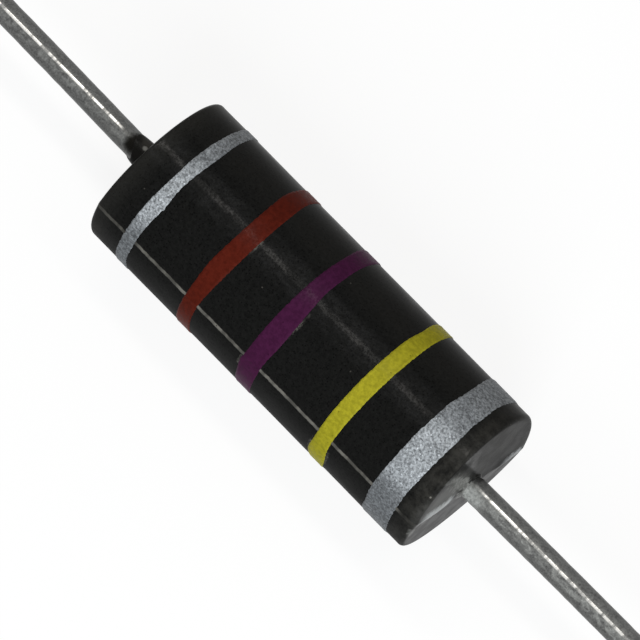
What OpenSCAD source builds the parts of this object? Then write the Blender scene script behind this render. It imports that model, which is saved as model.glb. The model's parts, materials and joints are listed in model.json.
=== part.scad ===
// Moulded axial inductor: a wire-wound ferrite drum with two tinned leads, sealed in a
// black resin cylinder that carries five painted colour bands.
// Frame: millimetres, the leads lie along X, +X points out of the wide-band end, +Z is up,
// and the origin is the centre of the moulded body.

/* [Moulded body] */
// Diameter of the moulded body
body_d = 5.72; // [5:0.02:8]
// Length of the moulded body, taken along the parting line of the mould
body_len = 14.4; // [12:0.05:20]
// Draft of the end face at the wide band, which falls away from the parting line
wide_end_draft = 4.2; // [1:0.1:7]
// Draft of the end face at the narrow band
narrow_end_draft = 1.9; // [1:0.1:7]
// Radius of the rounded rim at each end
rim_r = 0.16; // [0.06:0.01:0.3]
// Resin between the core and the outside of the body
side_wall = 0.75; // [0.5:0.05:1]
// Resin between the end face and the coined flat of the lead, round the neck of the wire
end_wall = 0.9; // [0.6:0.05:1.4]

/* [Resin collars] */
// Thickness of the resin that has crept up the lead, at the end face
collar_t = 0.07; // [0.04:0.01:0.2]
// Thickness of the resin at the tip of the collar
collar_tip_t = 0.03; // [0.02:0.005:0.04]
// Length of the collar at the wide-band end
wide_collar_len = 0.25; // [0.1:0.05:0.8]
// Length of the collar at the narrow-band end
narrow_collar_len = 0.55; // [0.1:0.05:0.8]

/* [Parting line] */
// Angle of the parting plane above the horizontal, about the leads
parting_angle = 31.5; // [-90:0.5:90]
// Thickness of the flash left on the parting line
flash_t = 0.06; // [0.04:0.01:0.12]
// Height of the flash along the sides
side_flash_h = 0.015; // [0.01:0.001:0.02]
// Height of the flash across the end faces
end_flash_h = 0.06; // [0.02:0.01:0.12]
// Width of the bare ring between the lead and the flash on the end face
end_flash_gap = 0.6; // [0.3:0.05:1]

/* [Leads] */
// Diameter of the tinned copper lead
lead_d = 0.84; // [0.7:0.01:1]
// Free length of each lead from the end face
lead_len = 36.5; // [15:0.5:45]
// Chamfer left by the shears at the free end
lead_chamfer = 0.06; // [0.02:0.01:0.12]
// Thickness of the coined flat that locks the lead in the resin
flat_t = 0.52; // [0.4:0.01:0.6]
// Length of the coined flat
flat_len = 0.8; // [0.4:0.05:1.2]
// Diameter that the wire necks down to between the end face and the coined flat
neck_d = 0.72; // [0.6:0.01:0.8]
// Bare round wire between the solder and the coined flat
flat_gap = 0.2; // [0.1:0.05:0.5]
// Depth of the seat in the core that holds the lead
seat_depth = 1; // [0.5:0.05:1.5]

/* [Core] */
// Diameter of the waist of the drum, under the winding
waist_d = 2; // [1.4:0.05:2.4]
// Thickness of each flange of the drum
flange_t = 0.9; // [0.6:0.05:1.4]

/* [Winding] */
// Diameter of the enamelled wire
wire_d = 0.14; // [0.1:0.01:0.2]
// Depth from the rim of the flanges down to the top of the winding
winding_recess = 0.2; // [0.1:0.01:0.3]
// Clearance on each side of the wire in its notch in the flange
notch_clearance = 0.09; // [0.05:0.01:0.2]
// Gap between the flange and the wire that drops to the lead
drop_gap = 0.07; // [0.04:0.01:0.15]
// Depth of the end of the wire in the solder
wire_grip = 0.2; // [0.15:0.01:0.25]

/* [Solder] */
// Thickness of the solder bead over the lead
solder_t = 0.45; // [0.35:0.01:0.6]
// Length of the solder bead along the lead
solder_len = 0.8; // [0.6:0.05:1.2]

/* [Colour bands] */
// Thickness of the paint
paint_t = 0.03; // [0.025:0.005:0.05]
// Width of the wide silver band
wide_band_w = 1.09; // [0.6:0.01:1.6]
// Distance of the wide silver band from its end of the body
wide_band_margin = 0.81; // [0.6:0.01:1.4]
// Width of the yellow band
yellow_band_w = 0.58; // [0.3:0.01:0.9]
// Shift of the yellow band from even spacing, towards the wide band
yellow_band_shift = 0.39; // [-0.4:0.01:0.4]
// Width of the violet band
violet_band_w = 0.64; // [0.3:0.01:0.9]
// Shift of the violet band from even spacing, towards the wide band
violet_band_shift = -0.1; // [-0.4:0.01:0.4]
// Width of the red band
red_band_w = 0.62; // [0.3:0.01:0.9]
// Shift of the red band from even spacing, towards the wide band
red_band_shift = 0.05; // [-0.4:0.01:0.4]
// Width of the narrow silver band
narrow_band_w = 0.51; // [0.3:0.01:0.9]
// Distance of the narrow silver band from its end of the body
narrow_band_margin = 1.27; // [0.6:0.01:1.8]

/* [Hidden] */
$fn = 96;
// Overlap that keeps a cut or a joint from ending exactly on a face
overlap = 0.1;

// Places along X, counted from the centre of the body
body_end = body_len / 2;
lead_tip = body_end + lead_len;
flat_outer = body_end - end_wall;
flat_inner = flat_outer - flat_len;
core_end = flat_inner - flat_gap - solder_len;
window_end = core_end - flange_t;
seat_end = core_end - seat_depth;
drop_x = core_end + drop_gap + wire_d / 2;

// Radii, from the outside in
body_r = body_d / 2;
core_r = body_r - side_wall;
winding_r = core_r - winding_recess;
wire_r = wire_d / 2;
top_layer_r = winding_r - wire_r;
waist_r = waist_d / 2;
lead_r = lead_d / 2;
solder_r = lead_r + solder_t;
wire_end_r = solder_r - wire_grip;

// A coined flat has round edges and keeps the area of the round wire
flat_w = flat_t + PI * (lead_r * lead_r - flat_t * flat_t / 4) / flat_t;

// Turns that show in the top layer of the winding
turns = floor(2 * window_end / wire_d);
turn_pitch = 2 * window_end / turns;

// The rim is rounded until it leans out by this angle, which stays clear of the side of the body
rim_lean = 15;
// Length of the trim that shapes an end of the body
trim_len = body_r;

// The colour bands share out the space between the two silver ones
wide_band_x = body_end - wide_band_margin - wide_band_w / 2;
narrow_band_x = narrow_band_margin + narrow_band_w / 2 - body_end;
free_len = wide_band_x - wide_band_w / 2 - narrow_band_x - narrow_band_w / 2;
band_gap = (free_len - yellow_band_w - violet_band_w - red_band_w) / 4;
yellow_even_x = wide_band_x - wide_band_w / 2 - band_gap - yellow_band_w / 2;
violet_even_x = yellow_even_x - yellow_band_w / 2 - band_gap - violet_band_w / 2;
red_even_x = violet_even_x - violet_band_w / 2 - band_gap - red_band_w / 2;

silver = [0.55, 0.56, 0.57];

// The shapes below are made with the parting plane level, and the part lies rolled about its leads
module as_it_lies() {
    rotate([-parting_angle, 0, 0]) children();
}

// Turns a shape made along Z so that it runs along X
module along_x() {
    rotate([0, 90, 0]) children();
}

// A rod along X from one place to another
module rod(r, from, to) {
    translate([from, 0, 0]) along_x() cylinder(r = r, h = to - from);
}

// Places a shape made for the wide-band end at either end
module at_end(end) {
    rotate([0, end == "wide" ? 0 : 180, 0]) children();
}

// The shape of an end as a turned plug: a flat face, a rounded rim and a side that leans out
module end_plug() {
    rim_x = body_r - rim_r;
    lean_x = rim_x + rim_r * cos(rim_lean);
    lean_y = rim_r * sin(rim_lean) - rim_r;
    rotate_extrude() {
        translate([rim_x, -rim_r]) circle(r = rim_r);
        polygon([
            [0, 0], [rim_x, 0], [lean_x, lean_y],
            [lean_x + (trim_len + lean_y) * tan(rim_lean), -trim_len], [0, -trim_len]
        ]);
    }
}

// What comes off one half of an end: all that lies outside the plug, which leans back by the draft
module end_trim(draft) {
    translate([body_end, 0, 0]) rotate([0, -draft, 0]) along_x() difference() {
        translate([0, 0, -trim_len / 2]) cylinder(r = 2 * body_r, h = trim_len);
        end_plug();
    }
}

// The half of the resin that one half of the mould forms
module body_half() {
    half_len = body_end + overlap;
    difference() {
        intersection() {
            rod(body_r, -half_len, half_len);
            translate([-half_len - overlap, -body_r - overlap, 0])
                cube([2 * (half_len + overlap), 2 * (body_r + overlap), body_r + overlap]);
        }
        end_trim(wide_end_draft);
        mirror([1, 0, 0]) end_trim(narrow_end_draft);
    }
}

// The resin that has crept up a lead
module collar(len) {
    root_t = collar_t + (collar_t - collar_tip_t) * overlap / len;
    translate([body_end - overlap, 0, 0]) along_x()
        cylinder(r1 = lead_r + root_t, r2 = lead_r + collar_tip_t, h = len + overlap);
}

// One quarter of the outline of the flash: along the side, past the rim and across the end face
module flash_quarter() {
    start_r = lead_r + end_flash_gap;
    polygon([
        [0, 0], [body_end - overlap, 0], [body_end - overlap, start_r], [body_end, start_r],
        [body_end + end_flash_h, start_r + end_flash_h],
        [body_end + end_flash_h, body_r - rim_r - end_flash_h],
        [body_end - rim_r, body_r + side_flash_h], [0, body_r + side_flash_h]
    ]);
}

// The thin fin of resin in the parting plane of the mould
module parting_flash() {
    linear_extrude(height = flash_t, center = true)
        for (x = [0, 1], y = [0, 1]) mirror([x, 0]) mirror([0, y]) flash_quarter();
}

// The drum before its seats are drilled: a waist between two notched flanges
module core_blank() {
    notch_w = wire_d + 2 * notch_clearance;
    notch_floor = top_layer_r - wire_r - notch_clearance;
    rod(waist_r, -window_end - overlap, window_end + overlap);
    for (end = ["wide", "narrow"]) at_end(end) difference() {
        rod(core_r, window_end, core_end);
        translate([window_end - overlap, -notch_w / 2, notch_floor])
            cube([flange_t + 2 * overlap, notch_w, core_r]);
    }
}

// The wire from the face of the flange down into the solder
module wire_drop() {
    translate([drop_x, 0, wire_end_r]) cylinder(r = wire_r, h = top_layer_r - wire_end_r);
}

// Each end of the wire: through its notch, round a corner and down to the lead
module wire_tails() {
    for (end = ["wide", "narrow"]) at_end(end) {
        translate([0, 0, top_layer_r]) rod(wire_r, window_end - turn_pitch / 2, drop_x);
        translate([drop_x, 0, top_layer_r]) sphere(r = wire_r);
        wire_drop();
    }
}

// A round wire with a seat end, a coined flat, a neck in the resin and a sheared tip
module lead_shape() {
    rod(lead_r, seat_end, flat_inner);
    translate([flat_inner, 0, 0]) along_x() linear_extrude(height = flat_len) {
        square([flat_t, flat_w - flat_t], center = true);
        for (y = [-1, 1]) translate([0, y * (flat_w - flat_t) / 2]) circle(d = flat_t);
    }
    translate([flat_outer, 0, 0]) along_x()
        cylinder(r1 = neck_d / 2, r2 = lead_r, h = end_wall);
    rod(lead_r, body_end, lead_tip - lead_chamfer);
    translate([lead_tip - lead_chamfer, 0, 0]) along_x()
        cylinder(r1 = lead_r, r2 = lead_r - lead_chamfer, h = lead_chamfer);
}

// A bulging bead of solder round the lead, against the face of the core
module solder_bead() {
    bulge_r = solder_len / 2;
    translate([core_end, 0, 0]) along_x() rotate_extrude() intersection() {
        translate([lead_r, 0]) square([solder_t, solder_len]);
        translate([solder_r - bulge_r, bulge_r]) {
            circle(r = bulge_r);
            translate([-solder_t, -bulge_r]) square([solder_t, solder_len]);
        }
    }
}

module moulded_body() {
    color([0.11, 0.11, 0.11]) difference() {
        union() {
            for (turn = [0, 180]) rotate([turn, 0, 0]) body_half();
            at_end("wide") collar(wide_collar_len);
            at_end("narrow") collar(narrow_collar_len);
            parting_flash();
        }
        core_blank();
        rod(winding_r, -window_end, window_end);
        wire_tails();
        for (end = ["wide", "narrow"]) at_end(end) {
            solder_bead();
            lead_shape();
        }
    }
}

module ferrite_core() {
    color([0.2, 0.19, 0.19]) difference() {
        core_blank();
        for (end = ["wide", "narrow"]) at_end(end) rod(lead_r, seat_end, core_end + overlap);
    }
}

// The turns are one solid, and round ridges show the top layer
module winding() {
    color([0.62, 0.3, 0.12]) {
        along_x() rotate_extrude() {
            translate([waist_r, -window_end]) square([top_layer_r - waist_r, 2 * window_end]);
            for (i = [0 : turns - 1])
                translate([top_layer_r, (i + 0.5) * turn_pitch - window_end]) circle(r = wire_r, $fn = 24);
        }
        wire_tails();
    }
}

module lead(end) {
    color([0.44, 0.43, 0.41]) at_end(end) lead_shape();
}

module solder(end) {
    color([0.7, 0.7, 0.72]) at_end(end) difference() {
        solder_bead();
        wire_drop();
    }
}

// A ring of paint on the body, over the flash of the parting line
module band(x, w, paint) {
    color(paint) difference() {
        rod(body_r + paint_t, x - w / 2, x + w / 2);
        rod(body_r, x - w / 2 - overlap, x + w / 2 + overlap);
        parting_flash();
    }
}

as_it_lies() moulded_body();
as_it_lies() ferrite_core();
as_it_lies() winding();
as_it_lies() lead("wide");  // lead_wide_end
as_it_lies() lead("narrow");  // lead_narrow_end
as_it_lies() solder("wide");  // solder_wide_end
as_it_lies() solder("narrow");  // solder_narrow_end
as_it_lies() band(wide_band_x, wide_band_w, silver);  // band_wide_silver
as_it_lies() band(yellow_even_x + yellow_band_shift, yellow_band_w, [0.65, 0.62, 0.15]);  // band_yellow
as_it_lies() band(violet_even_x + violet_band_shift, violet_band_w, [0.27, 0.09, 0.22]);  // band_violet
as_it_lies() band(red_even_x + red_band_shift, red_band_w, [0.35, 0.11, 0.08]);  // band_red
as_it_lies() band(narrow_band_x, narrow_band_w, silver);  // band_narrow_silver
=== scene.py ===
"""Looks of a moulded axial inductor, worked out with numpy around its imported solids.

The file is laid out as a Blender add-on and is run as a script. Lengths are in metres, and the
patterns in the materials are in millimetres.
"""

import json
import math
from typing import Callable, NamedTuple

import bpy
import numpy as np
from mathutils import Matrix, Vector


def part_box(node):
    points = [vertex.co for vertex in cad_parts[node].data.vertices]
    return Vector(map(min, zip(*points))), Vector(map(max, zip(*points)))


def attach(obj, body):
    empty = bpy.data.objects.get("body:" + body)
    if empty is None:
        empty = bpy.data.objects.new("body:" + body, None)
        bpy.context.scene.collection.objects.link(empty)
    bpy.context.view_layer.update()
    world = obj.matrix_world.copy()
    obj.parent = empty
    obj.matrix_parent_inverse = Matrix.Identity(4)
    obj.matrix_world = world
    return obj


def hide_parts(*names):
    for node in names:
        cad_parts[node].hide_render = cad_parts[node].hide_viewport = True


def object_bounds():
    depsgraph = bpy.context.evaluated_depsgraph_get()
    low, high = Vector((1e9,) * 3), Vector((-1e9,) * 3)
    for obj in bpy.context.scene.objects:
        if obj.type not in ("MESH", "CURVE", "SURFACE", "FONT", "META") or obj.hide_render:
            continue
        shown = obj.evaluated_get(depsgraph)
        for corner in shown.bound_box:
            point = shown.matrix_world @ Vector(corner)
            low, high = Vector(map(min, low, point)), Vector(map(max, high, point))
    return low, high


bl_info = {
    "name": "Moulded Axial Inductor",
    "version": (1, 0, 0),
    "blender": (4, 5, 0),
    "location": "View3D > Sidebar > Inductor",
    "description": "Builds the resin body, the painted bands and the tinned leads of an axial inductor",
    "category": "Add Mesh",
}

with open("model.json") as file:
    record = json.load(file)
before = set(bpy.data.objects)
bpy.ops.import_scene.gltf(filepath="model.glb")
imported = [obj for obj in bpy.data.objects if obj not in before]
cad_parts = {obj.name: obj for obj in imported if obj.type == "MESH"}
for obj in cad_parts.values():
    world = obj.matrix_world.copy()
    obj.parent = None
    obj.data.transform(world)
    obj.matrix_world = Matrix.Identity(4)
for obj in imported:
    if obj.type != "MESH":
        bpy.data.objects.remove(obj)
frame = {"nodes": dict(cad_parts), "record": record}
cad_low, cad_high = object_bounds()

MM = 0.001
BODY = "root"

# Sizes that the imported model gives
wide_mount = next(m for m in frame["record"]["mounts"] if m["name"] == "wide_end_lead")
LEAD_RADIUS = wide_mount["dims"]["r_mm"] * MM
BODY_END = wide_mount["pos_m"][0] - wide_mount["dims"]["length_mm"] * MM / 2
BODY_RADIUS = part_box("moulded_body")[1].z
CORE_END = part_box("ferrite_core")[1].x
CORE_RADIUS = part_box("ferrite_core")[1].z
SOLDER_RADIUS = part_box("solder_wide_end")[1].z
LEAD_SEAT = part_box("lead_wide_end")[0].x
LEAD_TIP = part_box("lead_wide_end")[1].x
FLOOR_HEIGHT = cad_low.z


def number(name, description, default, **unit):
    """A plain number, or one with a unit."""
    return bpy.props.FloatProperty(name=name, description=description, default=default, **unit)


def length(name, description, default):
    """A length in metres."""
    return number(name, description, default, precision=6, unit="LENGTH", subtype="DISTANCE")


def angle(name, description, degrees):
    """An angle, given in degrees and kept in radians."""
    return number(name, description, math.radians(degrees), unit="ROTATION", subtype="ANGLE")


def colour(name, description, default):
    """A linear colour."""
    return bpy.props.FloatVectorProperty(
        name=name, description=description, default=default, size=3, min=0, max=1, subtype="COLOR"
    )


class ResinSettings(bpy.types.PropertyGroup):
    """Sizes and colours of the moulded resin body."""

    radius: length("Radius", "Radius of the body", BODY_RADIUS)
    lead_radius: length("Lead Radius", "Radius of the bore round each lead", LEAD_RADIUS)
    end: length("End", "Distance from the middle to the ridge of an end face", BODY_END)
    wide_draft: angle("Wide End Draft", "Fall of the wide-band end away from the parting line", 4.2)
    narrow_draft: angle("Narrow End Draft", "Fall of the narrow-band end", 1.9)
    rim: length("Rim", "Radius of the rounded rims", 0.16 * MM)
    roll: angle("Roll", "Angle of the parting plane above the horizontal", 31.5)
    flash: length("Side Flash", "Height of the flash along the sides", 0.015 * MM)
    flash_reach: length("Flash Reach", "Half the thickness of the flash", 0.045 * MM)
    wide_flash: length("Wide End Flash", "Height of the flash across the wide-band end", 0.05 * MM)
    narrow_flash: length("Narrow End Flash", "Height of the flash across the other end", 0.03 * MM)
    end_flash_reach: length("End Flash Reach", "Half the thickness of that flash by the lead", 0.32 * MM)
    end_flash_start: length("End Flash Start", "Distance of that flash from the axis", 1.02 * MM)
    collar: length("Collar", "Thickness of the resin round the lead at its foot", 0.1 * MM)
    collar_tip: length("Collar Tip", "Thickness of that resin at its tip", 0.008 * MM)
    wide_collar: length("Wide End Collar", "Length of the collar at the wide band", 0.05 * MM)
    narrow_collar: length("Narrow End Collar", "Length of the collar at the narrow band", 0.92 * MM)
    end_wall: length("End Wall", "Resin round the neck of the lead", 0.9 * MM)
    dark: colour("Resin", "Colour of the resin", (0.0046, 0.0047, 0.0045))
    pale: colour("Resin Haze", "Colour of its hazier patches", (0.0156, 0.0157, 0.015))
    # Pale colour of the parting line, the dusty film, specks, fringes and rim specks, and of the sheen
    # painted on the far side
    flash_dust_and_sheen_colour: colour("Flash", "Colour of the rubbed flash", (0.23, 0.22, 0.195))
    # Colour of the highlight painted on the flash ridge of the wide-band end
    crest_highlight_colour: colour("Crest", "Colour of the flash that is rubbed through", (0.68, 0.7, 0.71))
    # Pale colour of the reflection of the lead painted on the wide-band end, of the highlights painted on
    # its rim and on the narrow-end film, and of a pale patch on the upper face
    smear_colour: colour("Smear", "Colour of the smear above the lead", (0.38, 0.38, 0.36))
    film_colour: colour("Film", "Colour of the thin film up the narrow-end lead", (0.07, 0.068, 0.062))


class PaintSettings(bpy.types.PropertyGroup):
    """Sizes and colours of the painted bands."""

    film: length("Film", "Thickness of the paint in the middle of a band", 0.022 * MM)
    bead: length("Bead", "Thickness of the paint at the beads along its edges", 0.03 * MM)
    silver: colour("Silver", "Colour of the silver paint", (0.39, 0.414, 0.438))
    yellow: colour("Yellow", "Colour of the yellow paint", (0.45, 0.41, 0.026))
    violet: colour("Violet", "Colour of the violet paint", (0.066, 0.0125, 0.049))
    red: colour("Red", "Colour of the red paint", (0.105, 0.0145, 0.0078))


class LeadSettings(bpy.types.PropertyGroup):
    """Sizes and colours of the tinned leads."""

    radius: length("Radius", "Radius of the lead", LEAD_RADIUS)
    neck: length("Neck", "Radius of the neck inside the resin", 0.36 * MM)
    flat_width: length("Flat Width", "Half the width of the coined flat", 0.585 * MM)
    flat_thickness: length("Flat Thickness", "Half the thickness of the coined flat", 0.26 * MM)
    flat_length: length("Flat Length", "Length of the coined flat", 0.8 * MM)
    chamfer: length("Chamfer", "Chamfer at the sheared tip", 0.06 * MM)
    ripple: length("Ripple", "Unevenness of the hot-dipped coat", 0.002 * MM)
    wide_lean: angle("Wide End Lean", "Lean of the lead where it leaves the wide-band end", 1.0)
    narrow_lean: angle("Narrow End Lean", "Lean of the lead where it leaves the narrow-band end", 1.1)
    wide_shift: length("Wide End Shift", "Shift of that lead off the axis outside the resin", 0.03 * MM)
    wide_coat: length("Wide End Coat", "Extra thickness of the tin on that lead", 0.012 * MM)
    tin: colour("Tin", "Colour of the dull tin", (0.1, 0.101, 0.099))
    # Pale tin of the painted sheen beside the highlight line, and of the patch at the root of the wide-end
    # lead
    tin_pale_and_sheen: colour("Pale Tin", "Colour of the paler patches", (0.25, 0.255, 0.245))
    # Colour of the highlight painted in a line along each lead
    tin_highlight: colour("Bright Tin", "Colour of the tin where it was rubbed", (0.72, 0.71, 0.68))
    residue: colour("Residue", "Colour of the dark resin left on the lead", (0.01, 0.009, 0.007))


class StageSettings(bpy.types.PropertyGroup):
    """Camera and light."""

    azimuth: angle("Azimuth", "Turn of the camera about the vertical", 46.43)
    elevation: angle("Elevation", "Height of the camera above the horizon", 74.77)
    lens: number("Lens", "Focal length in millimetres", 536.9)
    distance: length("Distance", "Distance of the camera from its target", 300 * MM)
    target_x: length("Target X", "Target of the camera, along the leads", 0.008 * MM)
    target_y: length("Target Y", "Target of the camera, across the leads", 0.364 * MM)
    target_z: length("Target Z", "Target of the camera, above the axis", -0.269 * MM)
    sky: number("Sky", "Brightness of the room", 0.2)
    key: number("Key", "Power of the soft lamp in watts", 0.8)
    strip: number("Strip", "Power of the long strip lamp in watts", 0.34)


# Shapes in general

SHARP_EDGE = math.radians(40)


def smoothstep(low, high, value):
    """Rises from 0 at low to 1 at high along 3 t squared less 2 t cubed."""
    t = np.clip((value - low) / (high - low), 0, 1)
    return t * t * (3 - 2 * t)


def ripples(seed, along, around, wave, turns=6, count=24):
    """Noise of about unit size on a tube, as a sum of cosine waves with seeded phases.

    Each wave makes a whole number of turns round the tube, so it closes on itself, and has a random
    rate along it, of about one turn for each wave length.
    """
    draw = np.random.default_rng(seed)
    total = np.zeros(np.broadcast(along, around).shape)
    for _ in range(count):
        rate = draw.normal(0, math.tau / wave)
        order = draw.integers(-turns, turns + 1)
        total += np.cos(rate * along + order * around + draw.uniform(0, math.tau))
    return total * math.sqrt(2 / count)


def lay(x, across, above, roll):
    """Points of the mould's frame, turned about the leads by the roll of the parting plane."""
    y = across * math.cos(roll) + above * math.sin(roll)
    z = above * math.cos(roll) - across * math.sin(roll)
    return np.stack(np.broadcast_arrays(x, y, z), axis=-1)


def tube_mesh(name, points, loop=False, caps=False):
    """A mesh from a grid of points whose columns run round a tube.

    Neighbouring rows are joined by quads. With loop the last row joins the first one, and with caps
    each end row is closed by a fan to its own middle point.
    """
    rows, columns = points.shape[:2]
    index = np.arange(rows * columns).reshape(rows, columns)
    vertices = points.reshape(-1, 3)
    near = index if loop else index[:-1]
    far = np.roll(index, -1, axis=0) if loop else index[1:]
    quads = np.stack([near, np.roll(near, -1, axis=1), np.roll(far, -1, axis=1), far], axis=-1)
    quads = quads.reshape(-1, 4)
    fans = np.empty((0, 3), int)
    if caps:
        first, last = index[0], index[-1]
        poles = np.stack([points[0].mean(axis=0), points[-1].mean(axis=0)])
        vertices = np.concatenate([vertices, poles])
        start = np.stack([np.roll(first, -1), first, np.full(columns, rows * columns)], axis=-1)
        finish = np.stack([last, np.roll(last, -1), np.full(columns, rows * columns + 1)], axis=-1)
        fans = np.concatenate([start, finish])
    corners = np.concatenate([quads.ravel(), fans.ravel()]).astype(np.int32)
    quad_starts = np.arange(len(quads)) * 4
    fan_starts = len(quads) * 4 + np.arange(len(fans)) * 3
    starts = np.concatenate([quad_starts, fan_starts]).astype(np.int32)
    mesh = bpy.data.meshes.new(name)
    mesh.vertices.add(len(vertices))
    mesh.vertices.foreach_set("co", vertices.astype(np.float32).ravel())
    mesh.loops.add(len(corners))
    mesh.loops.foreach_set("vertex_index", corners)
    mesh.polygons.add(len(starts))
    mesh.polygons.foreach_set("loop_start", starts)
    mesh.update(calc_edges=True)
    if mesh.validate():
        raise RuntimeError(f"{name} has faces that don't hold together")
    mesh.shade_smooth()
    mesh.set_sharp_from_angle(angle=SHARP_EDGE)
    return mesh


def add_piece(name, mesh, material, slot, *nodes):
    """Adds a piece that rides on the body, stands for the nodes and takes the material as its finish.
    The slot is not used.
    """
    piece = bpy.data.objects.new(name, mesh)
    bpy.context.scene.collection.objects.link(piece)
    mesh.materials.append(material)
    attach(piece, BODY)
    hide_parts(*nodes)


# Shape of the resin body

SEAM_CROWDING = 0.85
RESIN_COLUMNS = 300
SIDE_ROWS = 130
COLLAR_ROWS = 12
FACE_ROWS = 36
RIM_ROWS = 9
BORE_OVERLAP = 0.01 * MM


def seam_angles(count):
    """Angles from the parting line, crowded where it lies: t less half the crowding times sin 2t."""
    t = np.arange(count) * math.tau / count
    return t - SEAM_CROWDING / 2 * np.sin(2 * t)


def side_flash(s, x, across_angle):
    """Height of the flash along the side: a bell over the parting plane, uneven along the body."""
    above = s.radius * np.sin(across_angle)
    uneven = np.clip(0.75 + 0.3 * ripples(11, x, 0 * across_angle, 0.9 * MM, turns=0), 0.2, 1)
    return s.flash * uneven * np.exp(-((above / s.flash_reach) ** 2))


def end_height(s, rho, theta, draft, flash, seed):
    """Height of an end face along the leads.

    A roof falls from the parting line by the draft, and a rounded ridge of flash lies on it. The ridge
    starts a little way off the lead, and gets lower and thinner towards the rim.
    """
    above = rho * np.sin(theta)
    roof = s.end - np.abs(above) * math.tan(draft)
    out = np.clip((rho - s.end_flash_start) / (s.radius - s.end_flash_start), 0, 1)
    uneven = 1 + 0.1 * ripples(seed, rho, theta, 2.5 * MM, turns=2)
    window = smoothstep(s.end_flash_start, s.end_flash_start + 0.6 * MM, rho)
    reach = s.end_flash_reach * (1 - 0.7 * out)
    return roof + flash * (1 - 0.92 * out) * uneven * window * np.exp(-((above / reach) ** 2))


def end_rows(s, theta, collar_length, draft, flash, seed):
    """One end of the body as rows of height and radius, from the tip of the collar to the side.

    The collar thins out along the lead like the root of the length that is left, the face is a roof,
    and the rim is a quarter round.
    """

    def height(rho):
        return end_height(s, rho, theta, draft, flash, seed)

    uneven = 1 + 0.15 * ripples(seed + 1, 0 * theta, theta, MM, turns=3)
    t = np.linspace(0, 1, COLLAR_ROWS)[:, None]
    collar_rho = s.lead_radius + s.collar_tip + (s.collar - s.collar_tip) * t + 0 * theta
    collar_x = height(collar_rho) + collar_length * uneven * (1 - t**2)
    face_rho = np.linspace(s.lead_radius + s.collar, s.radius - s.rim, FACE_ROWS)[1:-1, None] + 0 * theta
    face_x = height(face_rho)
    turn = np.linspace(0, math.pi / 2, RIM_ROWS)[:, None]
    rim_rho = s.radius - s.rim + s.rim * np.sin(turn) + 0 * theta
    rim_x = height(rim_rho) - s.rim * (1 - np.cos(turn))
    return np.concatenate([collar_x, face_x, rim_x]), np.concatenate([collar_rho, face_rho, rim_rho])


def resin_points(s):
    """The resin as a ring of rows: out along the narrow end, the side and the wide end, and back inside.

    Inside lie the bores round the leads, a chamber round each solder joint and the space of the core.
    """
    theta = seam_angles(RESIN_COLUMNS)[None, :]
    narrow_x, narrow_rho = end_rows(s, theta, s.narrow_collar, s.narrow_draft, s.narrow_flash, 21)
    wide_x, wide_rho = end_rows(s, theta, s.wide_collar, s.wide_draft, s.wide_flash, 31)
    share = np.linspace(0, 1, SIDE_ROWS)[1:-1, None]
    side_x = -narrow_x[-1] * (1 - share) + wide_x[-1] * share
    swell = 0.0025 * MM * ripples(41, side_x, theta, 5 * MM, turns=4)
    side_rho = s.radius + side_flash(s, side_x, theta) + swell
    wall = s.end - s.end_wall
    bore = s.lead_radius - BORE_OVERLAP
    corners = [(wall, bore), (wall, SOLDER_RADIUS), (CORE_END, SOLDER_RADIUS), (CORE_END, CORE_RADIUS)]
    inner = corners + [(-x, rho) for x, rho in reversed(corners)]
    inner_x = np.concatenate([wide_x[:1], *[np.full_like(theta, x) for x, _ in inner], -narrow_x[:1]])
    inner_radii = (bore, *(rho for _, rho in inner), bore)
    inner_rho = np.concatenate([np.full_like(theta, rho) for rho in inner_radii])
    x = np.concatenate([-narrow_x, side_x, wide_x[::-1], inner_x])
    rho = np.concatenate([narrow_rho, side_rho, wide_rho[::-1], inner_rho])
    return lay(x, rho * np.cos(theta), rho * np.sin(theta), s.roll)


# Shape of the painted bands

BAND_COLUMNS = 540
BAND_ROWS = 25
INNER_ROWS = 6
PAINT_OVERLAP = 0.004 * MM


class Band(NamedTuple):
    """One painted band, and the bumps in its two edges.

    A bump is an angle from the parting line and a half-width, both in degrees, and a shift in
    millimetres. The rag of the edges is in millimetres too.
    """

    node: str
    paint: str
    rag: float
    seed: int
    low_bumps: tuple
    high_bumps: tuple


BANDS = (
    Band(
        "band_wide_silver", "silver", 0.006, 51,
        ((140, 30, 0.04), (132, 12, -0.03), (104, 8, -0.05), (87, 25, 0.08), (198, 10, 0.05)),
        ((165, 8, -0.03), (127, 20, 0.01), (104, 8, -0.04), (80, 14, -0.06)),
    ),
    Band(
        "band_yellow", "yellow", 0.004, 52,
        ((78, 10, 0.05), (204, 10, -0.06)),
        ((110, 60, 0.035), (80, 12, -0.01), (204, 12, 0.08)),
    ),
    Band(
        "band_violet", "violet", 0.005, 53,
        ((80, 18, 0.03), (186, 8, -0.06)),
        ((130, 90, 0.03), (152, 20, 0.1), (110, 14, -0.06), (85, 20, -0.06), (192, 14, 0.04)),
    ),
    Band(
        "band_red", "red", 0.005, 54,
        ((148, 14, -0.03), (125, 18, 0.02), (80, 14, -0.06)),
        ((130, 80, 0.035), (122, 35, 0.04), (182, 25, -0.1), (70, 15, -0.05)),
    ),
    Band(
        "band_narrow_silver", "silver", 0.006, 55,
        ((72, 35, 0.08), (128, 16, 0.04)),
        ((146, 8, 0.05), (130, 10, -0.03), (177, 20, -0.04), (98, 16, 0.04), (202, 10, -0.04)),
    ),
)


def wander(theta, bumps, rag, seed):
    """Shift of a painted edge: a bell for each bump, and a fine rag."""
    shift = rag * ripples(seed, 0 * theta, theta, MM, turns=110)
    for place, width, size in bumps:
        away = np.angle(np.exp(1j * (theta - math.radians(place)))) / math.radians(width)
        shift = shift + size * np.exp(-(away**2))
    return shift * MM


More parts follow.
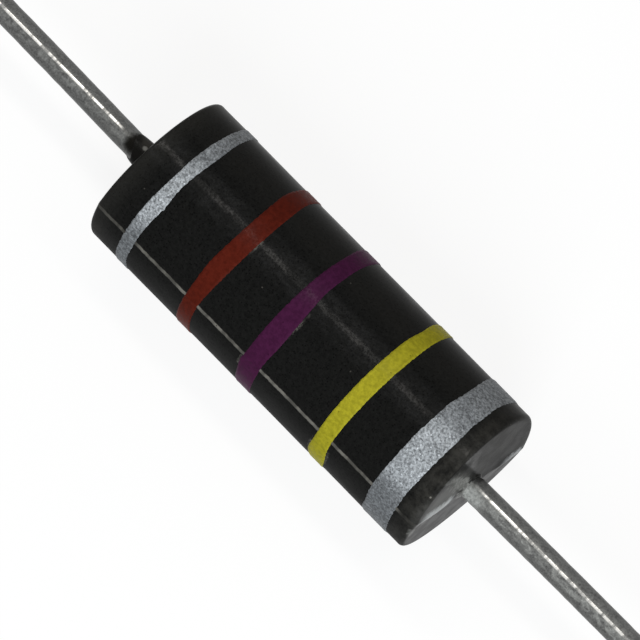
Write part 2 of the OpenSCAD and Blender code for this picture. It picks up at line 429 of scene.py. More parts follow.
def band_points(band, paint, resin):
    """A ring of paint whose two edges wander round the body.

    Across the band the film rises steeply from its edge to a bead and dips to the middle, and the
    inside follows the body.
    """
    low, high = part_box(band.node)
    theta = (np.arange(BAND_COLUMNS) * math.tau / BAND_COLUMNS)[None, :]
    start = low.x + wander(theta, band.low_bumps, band.rag, band.seed)
    finish = high.x + wander(theta, band.high_bumps, band.rag, band.seed + 100)
    share = (1 - np.cos(np.linspace(0, math.pi, BAND_ROWS)))[:, None] / 2
    offset = np.abs(2 * share - 1)
    bead = paint.film + (paint.bead - paint.film) * np.exp(-(((offset - 0.8) / 0.12) ** 2))
    film = bead * np.sqrt(np.clip(1 - offset**6, 0, 1))
    outer_x = start + (finish - start) * share
    uneven = 1 - 0.06 * np.abs(ripples(band.seed + 200, outer_x, theta, 0.5 * MM, turns=24))
    over_flash = side_flash(resin, outer_x, theta) * (1 - offset**6)
    outer_rho = resin.radius + film * uneven + over_flash
    inner_share = np.linspace(1, 0, INNER_ROWS)[1:-1, None]
    inner_x = start + (finish - start) * inner_share
    inner_rho = np.full_like(inner_x, resin.radius - PAINT_OVERLAP)
    x = np.concatenate([outer_x, inner_x])
    rho = np.minimum(np.concatenate([outer_rho, inner_rho]), resin.radius + paint.bead)
    return lay(x, rho * np.cos(theta), rho * np.sin(theta), resin.roll)


# Shape of the leads

LEAD_COLUMNS = 64
ROWS_INSIDE = 40
ROWS_OUTSIDE = 420
ROW_CROWDING = 1.25
FLAT_RUN = 0.12 * MM
RIPPLE_TOP = 0.003 * MM
RIPPLE_SINK = 0.001 * MM


def lead_points(s, resin, lean, shift, coat, side, seed):
    """A lead as rings along its length, round but for the coined flat that the resin holds.

    Outside the body its middle leaves the axis with the lean times the distance times the square of
    the share that is left to the tip, and with a shift that fades in the same way, so it comes back to
    the axis there. The radius ripples a little, and swells by the coat.
    """
    wall = resin.end - resin.end_wall
    inside = np.linspace(LEAD_SEAT, resin.end, ROWS_INSIDE, endpoint=False)
    free = LEAD_TIP - resin.end
    outside = resin.end + free * np.linspace(0, 1, ROWS_OUTSIDE) ** ROW_CROWDING
    x = np.concatenate([inside, outside])[:, None]
    around = (np.arange(LEAD_COLUMNS) * math.tau / LEAD_COLUMNS)[None, :]
    neck = s.neck + (s.radius - s.neck) * np.clip((x - wall) / resin.end_wall, 0, 1)
    radius = np.where((x > wall) & (x < resin.end), neck, s.radius)
    inner = wall - s.flat_length
    flat = smoothstep(inner, inner + FLAT_RUN, x) * (1 - smoothstep(wall - FLAT_RUN, wall, x))
    chamfer = np.clip((x - (LEAD_TIP - s.chamfer)) / s.chamfer, 0, 1) * s.chamfer
    fine = ripples(seed, x, around, 0.7 * MM, turns=5)
    broad = ripples(seed + 1, x, around, 2 * MM)
    dents = np.minimum(s.ripple * (fine + 0.6 * broad), RIPPLE_TOP) - RIPPLE_SINK
    skin = np.where(x > resin.end, dents, 0) - chamfer
    distance = np.clip(x - resin.end, 0, None)
    left = (1 - distance / free) ** 2
    swell = smoothstep(0, 0.2 * MM, distance) * left
    skin = skin + coat * swell
    across = (radius + (s.flat_width - radius) * flat + skin) * np.cos(around)
    above = (radius + (s.flat_thickness - radius) * flat + skin) * np.sin(around)
    bend = math.tan(lean) * distance * left + shift * swell
    points = lay(side * x, across, above, resin.roll)
    points[..., 1] += bend
    return points if side > 0 else points[::-1]


# Nodes of the materials

FLOAT = "NodeSocketFloat"
VECTOR = "NodeSocketVector"

# Places of the colour sockets of a Mix node
MIX_UNDER, MIX_OVER, MIX_RESULT = 6, 7, 2

# Factors that draw a pattern out: to twice its length along the leads, or so far across them that it
# changes only along them
ALONG_LEADS = (0.5, 1, 1)
ONLY_ALONG = (1, 0.02, 0.02)


def shade(colour_value, factor):
    """A colour made lighter or darker."""
    return tuple(min(1, channel * factor) for channel in colour_value)


class Maker:
    """Adds nodes to one node tree; its position is the place on the object in millimetres."""

    def __init__(self, tree, position=None):
        self.tree = tree
        self.position = position

    def feed(self, socket, value):
        """Links an input to another socket, or sets its value; a colour comes without its alpha."""
        if isinstance(value, bpy.types.NodeSocket):
            self.tree.links.new(value, socket)
        elif socket.type == "RGBA":
            socket.default_value = (*value, 1)
        else:
            socket.default_value = value

    def put(self, kind, inputs=None, **settings):
        """Adds a node with its settings, and feeds its inputs."""
        made = self.tree.nodes.new(kind)
        for name, value in settings.items():
            setattr(made, name, value)
        for name, value in (inputs or {}).items():
            self.feed(made.inputs[name], value)
        return made

    def calc(self, operation, first, second=0):
        """One step of arithmetic on two values."""
        return self.put("ShaderNodeMath", {0: first, 1: second}, operation=operation).outputs[0]

    def times(self, first, *others):
        """Product of masks and numbers."""
        for other in others:
            first = self.calc("MULTIPLY", first, other)
        return first

    def vector(self, operation, inputs, output="Vector"):
        """One step of arithmetic on vectors."""
        return self.put("ShaderNodeVectorMath", inputs, operation=operation).outputs[output]

    def ramp(self, value, low, high, start=0, finish=1):
        """A smooth ramp from start at low to finish at high."""
        inputs = {"Value": value, "From Min": low, "From Max": high, "To Min": start, "To Max": finish}
        return self.put("ShaderNodeMapRange", inputs, interpolation_type="SMOOTHSTEP").outputs["Result"]

    def between(self, mask, start, finish):
        """A value that goes smoothly from start to finish as the mask rises from 0 to 1."""
        return self.ramp(mask, 0, 1, start, finish)

    def blend(self, mask, under, over):
        """A colour that goes from under to over as the mask rises."""
        made = self.put("ShaderNodeMix", {"Factor": mask}, data_type="RGBA")
        self.feed(made.inputs[MIX_UNDER], under)
        self.feed(made.inputs[MIX_OVER], over)
        return made.outputs[MIX_RESULT]

    def stretched(self, factors):
        """The position with each axis scaled."""
        return self.vector("MULTIPLY", {0: self.position, 1: factors})

    def counted(self, size):
        """The position counted in units of a size."""
        return self.vector("SCALE", {0: self.position, "Scale": self.calc("DIVIDE", 1, size)})

    def reading(self, way):
        """How far the position lies along a direction."""
        return self.vector("DOT_PRODUCT", {0: self.position, 1: way}, "Value")

    def turned(self, degrees):
        """Cosine of the angle about the leads from a direction, which is given in degrees above +Y."""
        unit = self.vector("NORMALIZE", {0: self.stretched((0, 1, 1))})
        turn = math.radians(degrees)
        return self.vector("DOT_PRODUCT", {0: unit, 1: (0, math.cos(turn), math.sin(turn))}, "Value")

    def cells(self, size):
        """Outputs of a cell pattern with cells of a size."""
        return self.put("ShaderNodeTexVoronoi", {"Vector": self.counted(size), "Scale": 1}).outputs

    def effect(self, name, **values):
        """Places the node group of an effect with values of its own, and gives its outputs."""
        values = {"Position": self.position, **values}
        return self.put("ShaderNodeGroup", values, node_tree=effect_group(name)).outputs

    def grain(self, size, spread=0.2, factors=None):
        """Mask of soft mottling, which the factors may draw out."""
        place = self.stretched(factors) if factors else self.position
        return self.effect("Grain", Position=place, Size=size, Spread=spread)["Mask"]

    def specks(self, spacing, reach, share):
        """Mask of sparse specks."""
        return self.effect("Specks", Spacing=spacing, Reach=reach, Share=share)["Mask"]

    def soft_spot(self, centre, reach, rag=0.5):
        """Mask of one soft spot, placed in millimetres."""
        return self.effect("Stain", Centre=centre, Reach=reach, Rag=rag)["Mask"]

    def bump(self, height, distance):
        """A normal from a height mask, whose full height is a distance in millimetres."""
        return self.put("ShaderNodeBump", {"Height": height, "Distance": distance * MM}).outputs["Normal"]

    def finish(self, **inputs):
        """Feeds inputs of the Principled shader; an underscore in a name stands for a space."""
        shader = self.tree.nodes["Principled BSDF"]
        for name, value in inputs.items():
            self.feed(shader.inputs[name.replace("_", " ")], value)


# Effects that the materials share, as node groups


def fill_grain(make, given):
    """Soft mottling: noise at a size, whose middle is spread over the range from 0 to 1."""
    place = make.counted(given["Size"])
    noise = make.put("ShaderNodeTexNoise", {"Vector": place, "Scale": 1, "Detail": 3, "Roughness": 0.6})
    low = make.calc("SUBTRACT", 0.5, given["Spread"])
    high = make.calc("ADD", 0.5, given["Spread"])
    return {"Mask": make.ramp(noise.outputs["Fac"], low, high)}


def fill_specks(make, given):
    """Sparse specks: the middles of a share of the cells of a cell pattern."""
    cells = make.cells(given["Spacing"])
    draw = make.put("ShaderNodeSeparateColor", {"Color": cells["Color"]}).outputs[0]
    chosen = make.calc("LESS_THAN", draw, given["Share"])
    half = make.times(given["Reach"], 0.5)
    dot = make.ramp(cells["Distance"], half, given["Reach"], 1, 0)
    return {"Mask": make.times(dot, chosen)}


def fill_flake(make, given):
    """Metal flake: each cell has a shade of its own and leans its own way."""
    cells = make.cells(given["Size"])
    draw = make.put("ShaderNodeSeparateColor", {"Color": cells["Color"]}).outputs[0]
    centred = make.vector("SUBTRACT", {0: cells["Color"], 1: (0.5, 0.5, 0.5)})
    leaned = make.vector("SCALE", {0: centred, "Scale": given["Lean"]})
    upright = make.put("ShaderNodeNewGeometry").outputs["Normal"]
    added = make.vector("ADD", {0: upright, 1: leaned})
    return {"Shade": draw, "Normal": make.vector("NORMALIZE", {0: added})}


def fill_soft_spot(make, given):
    """A soft spot: egg-shaped, with a ragged edge."""
    away = make.vector("SUBTRACT", {0: make.position, 1: given["Centre"]})
    shares = make.vector("DIVIDE", {0: away, 1: given["Reach"]})
    far = make.vector("LENGTH", {0: shares}, "Value")
    noise = make.put("ShaderNodeTexNoise", {"Vector": make.position, "Scale": 7, "Detail": 3})
    rag = make.times(make.calc("SUBTRACT", noise.outputs["Fac"], 0.5), given["Rag"])
    return {"Mask": make.ramp(make.calc("ADD", far, rag), 0.35, 1, 1, 0)}


def fill_polish(make, given):
    """Rubbed gloss: soft blotches in a line along the upper side."""
    line = make.ramp(make.turned(86.6), 0.97, 0.994)
    blotches = make.between(make.grain(0.35, 0.15, ALONG_LEADS), 0.35, 1)
    dots = make.between(make.grain(0.07), 0.35, 1.4)
    return {"Mask": make.times(line, blotches, given["Weight"], dots)}


class Effect(NamedTuple):
    """A node group: its inputs with their usual values, what fills it, and its outputs."""

    inputs: dict
    fill: Callable
    outputs: tuple = (("Mask", FLOAT),)


EFFECTS = {
    "Grain": Effect({"Size": 1, "Spread": 0.2}, fill_grain),
    "Specks": Effect({"Spacing": 1, "Reach": 0.3, "Share": 0.3}, fill_specks),
    "Metal Flake": Effect({"Size": 0.05, "Lean": 0.5}, fill_flake, (("Shade", FLOAT), ("Normal", VECTOR))),
    "Stain": Effect({"Centre": (0, 0, 0), "Reach": (1, 1, 1), "Rag": 0.5}, fill_soft_spot),
    "Polish": Effect({"Weight": 0.3}, fill_polish),
}


def effect_group(name):
    """The node group of an effect, which is filled the first time that it is asked for."""
    if name in bpy.data.node_groups:
        return bpy.data.node_groups[name]
    effect = EFFECTS[name]
    tree = bpy.data.node_groups.new(name, "ShaderNodeTree")
    for socket, value in {"Position": (0, 0, 0), **effect.inputs}.items():
        kind = VECTOR if isinstance(value, tuple) else FLOAT
        tree.interface.new_socket(socket, in_out="INPUT", socket_type=kind).default_value = value
    for socket, kind in effect.outputs:
        tree.interface.new_socket(socket, in_out="OUTPUT", socket_type=kind)
    given = tree.nodes.new("NodeGroupInput").outputs
    make = Maker(tree, given["Position"])
    make.put("NodeGroupOutput", effect.fill(make, given))
    return tree


def new_material(name):
    """A material with a Principled shader, and the maker of its nodes."""
    material = bpy.data.materials.new(name)
    material.use_nodes = True
    make = Maker(material.node_tree)
    where = make.put("ShaderNodeTexCoord").outputs["Object"]
    make.position = make.vector("SCALE", {0: where, "Scale": 1 / MM})
    return material, make


# Material of the resin, with places and sizes in millimetres


class Crest(NamedTuple):
    """A stretch of the flash ridge on the wide-band end that gets a painted highlight: its two ends across
    the face, how far the highlight reaches to either side, and its strength.
    """

    start: float
    finish: float
    reach: float
    strength: float


class Mark(NamedTuple):
    """A mark painted into the colour, among them real stains, painted highlights and a painted reflection:
    its middle, its reach along each axis, how ragged it is, its strength and its colour.
    """

    centre: tuple
    reach: tuple
    rag: float = 0.5
    strength: float = 1
    colour: str = "smear_colour"


class Fringe(NamedTuple):
    """A pale fringe beside a band: its place along the leads, its angle from the parting line in degrees,
    and its reach round the body.
    """

    along: float
    turn: float
    reach: float


# Stretches of the flash ridge on the wide-band end that get a painted highlight
CRESTS = (Crest(-2.65, -0.92, 0.46, 1), Crest(1.5, 2.65, 0.36, 0.95))
# Marks painted into the resin colour: painted highlights, a painted reflection, a pale patch, and a real
# film of resin up the narrow-end lead
MARKS = {
    # Highlight painted along the rounded rim edge on the -Y side of the wide-band end
    "worn rim": Mark((7.14, -2.52, 0.84), (0.12, 0.22, 0.5), 0.9, 0.4),
    # Pale patch painted on the upper half of the wide-band end face
    "scuff on the face": Mark((7.1, -1.1, 1.35), (0.5, 1.6, 1.25), 0.3, 0.3),
    # Pale colour painted over the foot of the wide-end lead, carrying on the painted reflection of the lead
    "foot of the wide-end lead": Mark((7.2, -0.45, 0.05), (0.3, 0.22, 0.4), strength=0.5),
    "film up the narrow-end lead": Mark((-7.75, 0.28, 0.33), (0.35, 0.35, 0.35), colour="film_colour"),
    # Painted glint on the resin film of the narrow-end lead
    "glint on that film": Mark((-7.7, 0.09, 0.46), (0.12, 0.11, 0.11), 0.3),
}
FRINGES = (
    Fringe(0.29, 138, 0.6),
    Fringe(-0.52, 187, 0.35),
    Fringe(2.85, 198, 0.5),
    Fringe(3.56, 198, 0.5),
    Fringe(-2.45, 122, 0.4),
)
FRINGE_WIDTH = 0.09
FRINGE_RAG = 1.2
# Direction up the wide-band end along which the painted reflection of the lead runs
REFLECTION_TURN = math.radians(103.474)


def plain_resin(make, s, along, on_side):
    """Colour of the bare resin: hazy patches, dark specks, a dusty film by both ends, and a sheen painted on
    the far side.
    """
    mottle = make.calc("ADD", make.grain(0.12, 0.25), make.grain(0.035))
    base = make.blend(make.times(mottle, 0.5), s.dark, s.pale)
    base = make.blend(make.specks(0.065, 0.5, 0.25), base, shade(s.dark, 0.6))
    settled = make.ramp(make.turned(103), 0.6, 0.95, 0.08, 0.18)
    wide_end_dust = make.times(make.ramp(along, 6.2, 6.7), make.grain(0.3, 0.3), settled, on_side)
    narrow_end_dust = make.ramp(along, -7.2, -6.2, 0.06, 0)
    # Painted sheen: the colour is made paler on the far, upper +Y side
    painted_far_side_sheen = make.ramp(make.turned(40), 0.82, 0.97, 0, 0.03)
    for dust_and_sheen in (wide_end_dust, narrow_end_dust, painted_far_side_sheen):
        base = make.blend(dust_and_sheen, base, s.flash_dust_and_sheen_colour)
    return base


def parting_line(make, above, along, on_side):
    """Mask of the rubbed flash along the sides: a line that wavers, breaks up and fades towards the ends."""
    waver = make.between(make.grain(0.25, 0.3, ONLY_ALONG), -0.013, 0.013)
    off_line = make.calc("ABSOLUTE", make.calc("ADD", above, waver))
    line = make.ramp(off_line, 0.04, 0.085, 1, 0)
    broken = make.between(make.grain(0.7, 0.14, ONLY_ALONG), 0.4, 1)
    wide_end_fade = make.ramp(along, 6.3, 6.6, 1, 0.15)
    narrow_end_fade = make.ramp(along, -7.2, -4.5, 0.3, 1)
    return make.times(line, on_side, broken, wide_end_fade, narrow_end_fade)


def painted_crest_highlight(make, crest, ragged_height, across, on_face):
    """Mask of the highlight painted on one crest: strong along its middle and gone at its reach, with soft
    ends.
    """
    # The painted highlight: strongest on the crest and gone at its reach
    rubbed = make.ramp(ragged_height, crest.reach / 3, crest.reach, crest.strength, 0)
    near_end = make.ramp(across, crest.start - 0.1, crest.start + 0.6)
    far_end = make.ramp(across, crest.finish - 0.2, crest.finish + 0.1, 1, 0)
    return make.times(rubbed, on_face, near_end, far_end)


def painted_lead_reflection(make, on_face):
    """Mask of the reflection of the lead painted on the wide-band end: it runs up the face from the lead,
    with wobbling edges and streaks.
    """
    up_face = make.reading((0, math.cos(REFLECTION_TURN), math.sin(REFLECTION_TURN)))
    wobble = make.between(make.grain(0.3, 0.3), -0.14, 0.14)
    beside = make.calc("ADD", make.reading((0, math.sin(REFLECTION_TURN), -math.cos(REFLECTION_TURN))), wobble)
    clear_of_lead = make.ramp(up_face, 0.2, 0.4)
    fading = make.ramp(up_face, 0.5, 2.6, 1, 0.75)
    left_edge = make.ramp(beside, -0.45, -0.15)
    right_fade = make.ramp(beside, 0.05, 0.25, 1, 0.06)
    right_edge = make.ramp(beside, 0.4, 0.5, 1, 0)
    streaks = make.between(make.grain(0.09, 0.25, (1, 1, 0.3)), 0.4, 1)
    return make.times(on_face, clear_of_lead, fading, left_edge, right_fade, right_edge, streaks)


def pale_fringe(make, s, fringe):
    """Mask of one pale fringe."""
    turn = math.radians(fringe.turn) - s.roll
    radius = s.radius / MM
    centre = (fringe.along, radius * math.cos(turn), radius * math.sin(turn))
    return make.soft_spot(centre, (FRINGE_WIDTH, fringe.reach, fringe.reach), FRINGE_RAG)


def resin_material(s):
    """Semi-gloss black resin with hazy patches, a rubbed pale parting line and marks on the end faces.

    A sheen is painted on the far side, highlights are painted on the flash and the rim of the wide-band
    end, and the reflection of the lead is painted on that end.
    """
    material, make = new_material("Black Moulding Resin")
    above = make.reading((0, math.sin(s.roll), math.cos(s.roll)))
    across = make.reading((0, math.cos(s.roll), -math.sin(s.roll)))
    along = make.reading((1, 0, 0))
    from_axis = make.vector("LENGTH", {0: make.stretched((0, 1, 1))}, "Value")
    on_side = make.ramp(from_axis, 2.7, 2.8)
    on_face = make.ramp(along, 7.05, 7.1)

    base = plain_resin(make, s, along, on_side)
    base = make.blend(parting_line(make, above, along, on_side), base, s.flash_dust_and_sheen_colour)
    # Highlights painted in pale colour along the flash ridge of the wide-band end, with ragged edges
    crest_rag = make.times(make.grain(0.16, 0.25), 0.14)
    ragged_height = make.calc("ADD", make.calc("ABSOLUTE", above), crest_rag)
    for crest in CRESTS:
        base = make.blend(painted_crest_highlight(make, crest, ragged_height, across, on_face), base, s.crest_highlight_colour)
    # The reflection of the lead in the wide-band end, painted in pale colour
    base = make.blend(painted_lead_reflection(make, on_face), base, s.smear_colour)
    # Marks painted into the colour: highlights, a reflection, a pale patch and a real resin film
    for mark in MARKS.values():
        spot = make.times(make.soft_spot(mark.centre, mark.reach, mark.rag), mark.strength)
        base = make.blend(spot, base, getattr(s, mark.colour))
    base = make.blend(make.specks(0.35, 0.1, 0.07), base, shade(s.flash_dust_and_sheen_colour, 0.3))
    dots = make.between(make.grain(0.06), 0.05, 0.5)
    for fringe in FRINGES:
        base = make.blend(make.times(pale_fringe(make, s, fringe), dots), base, s.flash_dust_and_sheen_colour)
    # Pale specks in the band of resin by the wide-band rim
    rim_zone_specks = make.times(make.specks(0.28, 0.16, 0.22), make.ramp(along, 6.4, 6.7), on_side)
    base = make.blend(rim_zone_specks, base, s.flash_dust_and_sheen_colour)

    gloss = make.between(make.grain(0.6, factors=ALONG_LEADS), 0.29, 0.36)
    worn = make.times(on_side, make.ramp(make.turned(180), 0.92, 1, 0, 0.19))
    pebbles = make.times(make.grain(0.05, 0.3), make.ramp(along, 7, 7.05, 1, 3))
    make.finish(
        Base_Color=base,
        Roughness=make.calc("ADD", gloss, worn),
        Specular_IOR_Level=0.019,
        Coat_Weight=make.effect("Polish", Weight=0.17)["Mask"],
        Coat_Roughness=0.1,
        Normal=make.bump(pebbles, 0.0003),
    )
    return material


# Materials of the paints


def colour_paint(name, paint):
    """Semi-gloss paint with a faint mottle and a few darker specks."""
    material, make = new_material(name)
    mottle = make.grain(0.14)
    base = make.blend(mottle, shade(paint, 0.82), shade(paint, 1.16))
    base = make.blend(make.specks(0.16, 0.22, 0.1), base, shade(paint, 0.6))
    make.finish(
        Base_Color=base,
        Roughness=make.between(mottle, 0.34, 0.46),
        Specular_IOR_Level=0.02,
        Coat_Weight=make.effect("Polish", Weight=0.08)["Mask"],
        Coat_Roughness=0.14,
        Normal=make.bump(make.grain(0.06), 0.001),
    )
    return material


CLUMP_WEIGHT = 1.4


def silver_paint(paint):
    """Metal-flake paint: clumped flakes of different shades that lean their own way.

    The colour is painted darker on both sides of the upper middle, as painted shade for the fall-off
    of the flake paint, with a ragged step on the +Y side where the coat laps.
    """
    material, make = new_material("Silver Flake Paint")
    flakes = make.effect("Metal Flake", Size=0.04, Lean=0.36)
    clumps = make.calc("ADD", flakes["Shade"], make.times(make.grain(0.085, 0.14), CLUMP_WEIGHT))
    clumps = make.calc("DIVIDE", clumps, 1 + CLUMP_WEIGHT)
    base = make.blend(clumps, shade(paint, 0.4), shade(paint, 1.66))
    base = make.blend(make.specks(0.09, 0.4, 0.1), base, shade(paint, 2.1))
    # Painted shade: the darker silver laid on both sides of the upper middle
    shaded_silver = make.blend(clumps, shade(paint, 0.22), shade(paint, 0.7))
    # Towards -Y the silver is painted darker, as shade
    painted_shade_minus_y = make.ramp(make.turned(49.6), -0.1, 0.28, 0.95, 0)
    # Towards +Y it is painted darker past a ragged step: the step is a lap in the coat, the darkening is
    # painted shade
    uneven = make.times(make.grain(0.5), 0.2)
    shade_and_lap_plus_y = make.ramp(make.calc("SUBTRACT", make.turned(172.1), uneven), -0.25, 0.08, 0.7, 0)
    patchy = make.between(make.grain(0.3), -0.08, 0.12)
    # Mask of the painted shade on both sides, with random patches
    thin = make.calc("ADD", make.calc("MAXIMUM", painted_shade_minus_y, shade_and_lap_plus_y), patchy)
    make.finish(
        Base_Color=make.blend(thin, base, shaded_silver),
        Metallic=0.1,
        Roughness=make.between(flakes["Shade"], 0.4, 0.55),
        Specular_IOR_Level=0.03,
        Normal=flakes["Normal"],
    )
    return material


# Materials of the metals and the core


def wire_material(s):
    """Dull hot-dipped tin: mottled grey with a sheen painted in pale patches and flecks beside a painted
    highlight line, which is also glossier, a pale patch at the root of the wide-end lead and dark residue at
    the other.
    """
    material, make = new_material("Hot-Dipped Tin")
    out = make.reading((1, 0, 0))
    # Painted sheen: pale patches and bright flecks beside the highlight line, on the upper middle of each
    # lead, more on the wide-end lead
    sheen_band = make.ramp(make.turned(104), 0.84, 0.985, 0.25, 0.9)
    sheen_band = make.times(sheen_band, make.ramp(out, -7, 7, 0.5, 0.85))
    patches = make.times(make.grain(0.15, 0.16, (0.6, 1, 1)), sheen_band)
    flecks = make.times(patches, make.ramp(make.grain(0.06), 0.5, 1, 0, 0.4))
    mottle = make.grain(0.065)
    base = make.blend(mottle, shade(s.tin, 0.7), shade(s.tin, 1.4))
    base = make.blend(patches, base, s.tin_pale_and_sheen)
    base = make.blend(flecks, base, shade(s.tin_pale_and_sheen, 2.1))

    # A pale broken patch at the root of the wide-end lead
    smear = make.soft_spot((7.5, -0.25, 0.28), (0.7, 0.45, 0.45))
    broken_root_patch = make.times(smear, make.between(make.grain(0.1, 0.25), 0.4, 1))
    blot = make.soft_spot((-8.06, -0.03, 0.4), (0.46, 0.52, 0.42))
    base = make.blend(broken_root_patch, base, shade(s.tin_pale_and_sheen, 2.1))
    base = make.blend(blot, base, s.residue)
    clean = make.calc("SUBTRACT", 1, make.calc("MAXIMUM", blot, smear))

    # Painted highlight: a line along each lead where the strip lamp's highlight falls, painted bright tin
    # and also made fully metallic and glossier
    line = make.ramp(make.turned(83.2), 0.99, 0.999)
    clear_of_body = make.ramp(make.calc("ABSOLUTE", make.calc("ADD", out, 0.6)), 8, 8.3)
    dashes = make.ramp(make.grain(0.48, 0.17, (1, 0.2, 0.2)), 0.1, 0.5, 0.2, 1)
    rubbed = make.times(line, clear_of_body, dashes, clean)
    dull = make.between(mottle, 0.36, 0.48)
    make.finish(
        Base_Color=make.blend(rubbed, base, s.tin_highlight),
        Metallic=make.calc("MAXIMUM", make.times(clean, 0.8), rubbed),
        Roughness=make.calc("SUBTRACT", dull, make.times(rubbed, 0.2)),
        Specular_IOR_Level=0.06,
        Normal=make.bump(make.grain(0.16, factors=(0.6, 1, 1)), 0.001),
    )
    return material


def ferrite_material():
    """Sintered ferrite: dull dark grey with a fine grain and pits."""
    material, make = new_material("Sintered Ferrite")
    mottle = make.grain(0.06)
    pits = make.specks(0.12, 0.3, 0.3)
    base = make.blend(mottle, (0.026, 0.025, 0.025), (0.045, 0.043, 0.043))
    make.finish(
        Base_Color=make.blend(pits, base, (0.012, 0.012, 0.012)),
        Roughness=make.between(mottle, 0.6, 0.8),
        Normal=make.bump(make.calc("SUBTRACT", mottle, pits), 0.006),
    )
    return material


def copper_material():
    """Enamelled copper: clear amber enamel over bright wire, paler where it is rubbed."""
    material, make = new_material("Enamelled Copper")
    rubs = make.grain(0.2, factors=(1, 0.3, 0.3))
    make.finish(
        Base_Color=make.blend(rubs, (0.34, 0.075, 0.014), (0.5, 0.15, 0.04)),
        Metallic=0.8,
        Roughness=make.between(rubs, 0.25, 0.4),
        Coat_Weight=0.6,
    )
    return material


def solder_material():
    """Bright solder with a frosted grain."""
    material, make = new_material("Solder")
    frost = make.grain(0.1)
    make.finish(
        Base_Color=make.blend(frost, (0.4, 0.4, 0.41), (0.6, 0.6, 0.61)),
        Metallic=0.9,
        Roughness=make.between(frost, 0.2, 0.45),
        Normal=make.bump(frost, 0.008),
    )
    return material


# Operators


class INDUCTOR_OT_resin_body(bpy.types.Operator):
    """Make the moulded resin body"""

    bl_idname = "inductor.resin_body"
    bl_label = "Resin Body"

    def execute(self, context):
        settings = context.scene.inductor_resin
        mesh = tube_mesh("resin_body", resin_points(settings), loop=True)
        add_piece("resin_body", mesh, resin_material(settings), "moulding_resin", "moulded_body")
        return {"FINISHED"}


class INDUCTOR_OT_colour_bands(bpy.types.Operator):
    """Make the five painted bands"""

    bl_idname = "inductor.colour_bands"
    bl_label = "Colour Bands"

    def execute(self, context):
        paint = context.scene.inductor_paint
        resin = context.scene.inductor_resin
        finishes = {"silver": silver_paint(paint.silver)}
        for tone in ("yellow", "violet", "red"):
            finishes[tone] = colour_paint(f"{tone.title()} Paint", getattr(paint, tone))
        for band in BANDS:
            name = f"painted_{band.node}"
            mesh = tube_mesh(name, band_points(band, paint, resin), loop=True)
            add_piece(name, mesh, finishes[band.paint], f"{band.paint}_paint", band.node)
        return {"FINISHED"}


class INDUCTOR_OT_leads(bpy.types.Operator):
    """Make the two tinned leads"""

    bl_idname = "inductor.leads"
    bl_label = "Leads"

    def execute(self, context):
        settings = context.scene.inductor_lead
        resin = context.scene.inductor_resin
        tin = wire_material(settings)
        for end, side, lean, shift, coat, seed in (
            ("wide", 1, settings.wide_lean, settings.wide_shift, settings.wide_coat, 61),
            ("narrow", -1, settings.narrow_lean, 0, 0, 71),
        ):
            points = lead_points(settings, resin, lean, shift, coat, side, seed)
            name = f"tinned_lead_{end}_end"
            add_piece(name, tube_mesh(name, points, caps=True), tin, "tinned_wire", f"lead_{end}_end")
        return {"FINISHED"}


class INDUCTOR_OT_inner_pieces(bpy.types.Operator):
    """Finish the core, the winding and the solder joints inside the body"""

    bl_idname = "inductor.inner_pieces"
    bl_label = "Inner Pieces"

    def execute(self, context):
        solder = solder_material()
        finishes = {
            "ferrite_core": ferrite_material(),
            "winding": copper_material(),
            "solder_wide_end": solder,
            "solder_narrow_end": solder,
        }
        for node, material in finishes.items():
            slots = frame["nodes"][node].data.materials
            slots.clear()
            slots.append(material)
        return {"FINISHED"}


# Stage

FLOOR_REACH = 3.0
FLOOR_ALBEDO = (0.18, 0.18, 0.18)
FLOOR_GLOW = 0.87
WHITE = (1, 1, 1)
SENSOR_WIDTH = 36
LAMP_DISTANCE = 0.35


class Lamp(NamedTuple):
    """An area lamp: the way towards it, its length and width, the setting of its power, and its tint."""

    name: str
    towards: tuple
    size: tuple
    power: str
    tint: tuple


LAMPS = (
    Lamp("soft_key", (0.55, -0.597, 0.584), (0.2, 0.2), "key", (0.94, 0.98, 1)),
    Lamp("strip", (-0.17, 0.277, 0.946), (0.6, 0.045), "strip", (1, 0.96, 0.9)),
)


def direction(azimuth, elevation):
    """Unit vector towards a camera at an azimuth and elevation; azimuth 0 looks along +Y."""
    return Vector((
        math.sin(azimuth) * math.cos(elevation),
        -math.cos(azimuth) * math.cos(elevation),
        math.sin(elevation),
    ))


def add_lamp(lamp, power):
    """Adds a lamp that faces the object, hidden from the camera, whose long side lies along X."""
    light = bpy.data.lights.new(lamp.name, "AREA")
    light.shape = "RECTANGLE"
    light.size, light.size_y = lamp.size
    light.energy = power
    light.color = lamp.tint
    holder = bpy.data.objects.new(lamp.name, light)
    back = Vector(lamp.towards).normalized()
    side = Vector((1, 0, 0)) - back * back.x
    side.normalize()
    turn = Matrix((side, back.cross(side), back)).transposed().to_4x4()
    holder.matrix_world = Matrix.Translation(back * LAMP_DISTANCE) @ turn
    holder.visible_camera = False
    bpy.context.scene.collection.objects.link(holder)


def seen_directly(make):
    """Mask of the rays that come from the camera, from a reflection or through glass."""
    path = make.put("ShaderNodeLightPath").outputs
    seen = make.calc("MAXIMUM", path["Is Camera Ray"], path["Is Glossy Ray"])
    return make.calc("MAXIMUM", seen, path["Is Transmission Ray"])


def floor_material():
    """White matt floor that shows white to the camera and in reflections, and keeps the shadow."""
    material = bpy.data.materials.new("White Floor")
    material.use_nodes = True
    material.node_tree.nodes.clear()
    make = Maker(material.node_tree)
    matt = make.put("ShaderNodeBsdfDiffuse", {"Color": FLOOR_ALBEDO}).outputs[0]
    glow = make.put("ShaderNodeEmission", {"Color": WHITE, "Strength": FLOOR_GLOW}).outputs[0]
    lit = make.put("ShaderNodeAddShader", {0: matt, 1: glow}).outputs[0]
    pick = make.put("ShaderNodeMixShader", {0: seen_directly(make), 1: matt, 2: lit}).outputs[0]
    make.put("ShaderNodeOutputMaterial", {"Surface": pick})
    return material


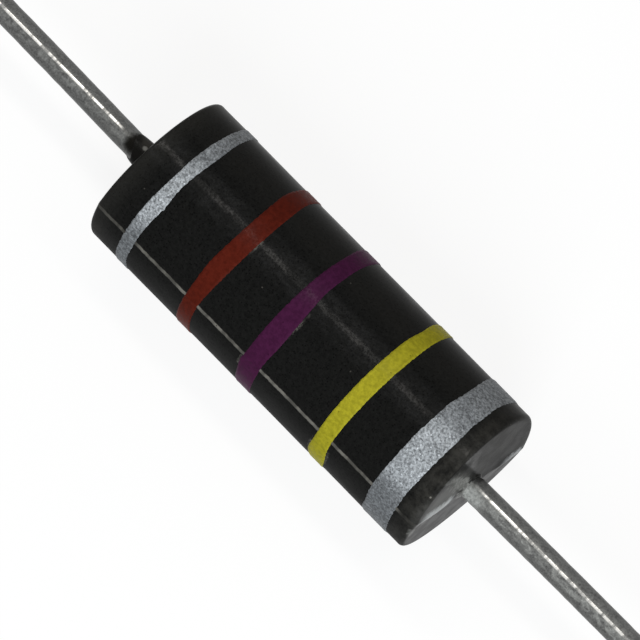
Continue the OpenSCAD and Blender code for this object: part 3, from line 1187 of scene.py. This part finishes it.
class INDUCTOR_OT_stage(bpy.types.Operator):
    """Make the floor, the light and the camera"""

    bl_idname = "inductor.stage"
    bl_label = "Stage"

    def execute(self, context):
        settings = context.scene.inductor_stage
        scene = context.scene
        signs = ((-1, -1), (1, -1), (1, 1), (-1, 1))
        corners = [(x * FLOOR_REACH, y * FLOOR_REACH, FLOOR_HEIGHT) for x, y in signs]
        mesh = bpy.data.meshes.new("floor")
        mesh.from_pydata(corners, [], [(0, 1, 2, 3)])
        mesh.materials.append(floor_material())
        floor = bpy.data.objects.new("floor", mesh)
        scene.collection.objects.link(floor)

        world = bpy.data.worlds.new("Room")
        world.use_nodes = True
        background = world.node_tree.nodes["Background"].inputs
        make = Maker(world.node_tree)
        make.feed(background["Color"], WHITE)
        make.feed(background["Strength"], make.between(seen_directly(make), settings.sky, 1.0))
        scene.world = world

        for lamp in LAMPS:
            add_lamp(lamp, getattr(settings, lamp.power))

        camera = bpy.data.objects.new("camera", bpy.data.cameras.new("camera"))
        camera.data.lens = settings.lens
        camera.data.sensor_width = SENSOR_WIDTH
        camera.data.clip_start = 1 * MM
        camera.data.clip_end = 10
        back = direction(settings.azimuth, settings.elevation)
        target = Vector((settings.target_x, settings.target_y, settings.target_z))
        camera.location = target + back * settings.distance
        camera.rotation_mode = "QUATERNION"
        camera.rotation_quaternion = (-back).to_track_quat("-Z", "Y")
        scene.collection.objects.link(camera)
        scene.camera = camera
        scene.view_settings.view_transform = "Standard"
        return {"FINISHED"}


STEPS = (
    INDUCTOR_OT_resin_body,
    INDUCTOR_OT_colour_bands,
    INDUCTOR_OT_leads,
    INDUCTOR_OT_inner_pieces,
    INDUCTOR_OT_stage,
)


class INDUCTOR_PT_panel(bpy.types.Panel):
    """Lists the settings and the steps"""

    bl_label = "Axial Inductor"
    bl_idname = "INDUCTOR_PT_panel"
    bl_space_type = "VIEW_3D"
    bl_region_type = "UI"
    bl_category = "Inductor"

    def draw(self, context):
        for group in SETTINGS:
            box = self.layout.box()
            settings = getattr(context.scene, group)
            for name in settings.bl_rna.properties.keys():
                if name not in ("name", "rna_type"):
                    box.prop(settings, name)
        for step in STEPS:
            self.layout.operator(step.bl_idname)


SETTINGS = {
    "inductor_resin": ResinSettings,
    "inductor_paint": PaintSettings,
    "inductor_lead": LeadSettings,
    "inductor_stage": StageSettings,
}
CLASSES = (*SETTINGS.values(), *STEPS, INDUCTOR_PT_panel)


def register():
    """Registers the classes and puts the settings on the scene."""
    for kind in CLASSES:
        bpy.utils.register_class(kind)
    for name, kind in SETTINGS.items():
        setattr(bpy.types.Scene, name, bpy.props.PointerProperty(type=kind))


def unregister():
    """Takes the settings off the scene and unregisters the classes."""
    for name in SETTINGS:
        delattr(bpy.types.Scene, name)
    for kind in reversed(CLASSES):
        bpy.utils.unregister_class(kind)


def main():
    """Runs every step."""
    register()
    bpy.ops.inductor.resin_body()
    bpy.ops.inductor.colour_bands()
    bpy.ops.inductor.leads()
    bpy.ops.inductor.inner_pieces()
    bpy.ops.inductor.stage()


if __name__ == "__main__":
    main()
